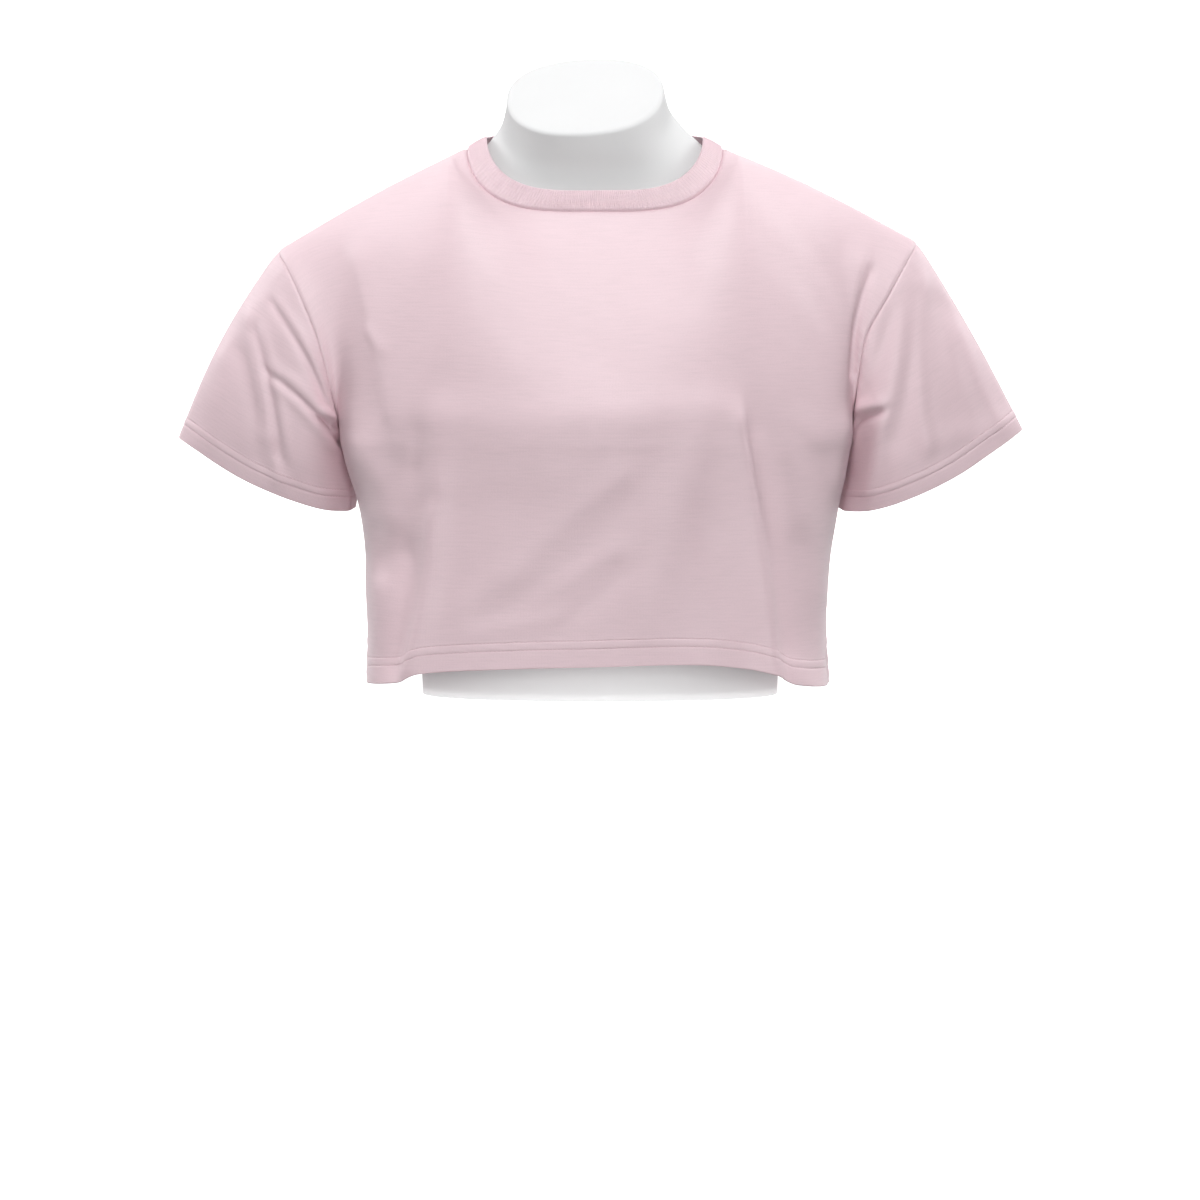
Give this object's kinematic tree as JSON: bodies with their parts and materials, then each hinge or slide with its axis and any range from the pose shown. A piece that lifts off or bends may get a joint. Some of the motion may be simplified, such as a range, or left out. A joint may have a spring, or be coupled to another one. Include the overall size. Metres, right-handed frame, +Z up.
{
  "type": "crop top on dress form",
  "caption": "Boxy short-sleeved crop top of pale dusty-pink cotton jersey with dropped shoulders and a ribbed crew neckband, on a smooth white headless, limbless dress form.",
  "frame": {"origin": "centre of the dress form's flat base", "axes": "+Z up, the front faces -Y, +X towards the viewer's right across the sleeves"},
  "size_m": [0.6748, 0.234, 0.5089],
  "materials": {
    "jersey": "matte",
    "rib": "matte",
    "form": "satin"
  },
  "bodies": {
    "root": {"front": "jersey", "back": "jersey", "sleeve_left": "jersey", "sleeve_right": "jersey", "neckband": "rib", "dress_form": "form"}
  },
  "joints": []
}
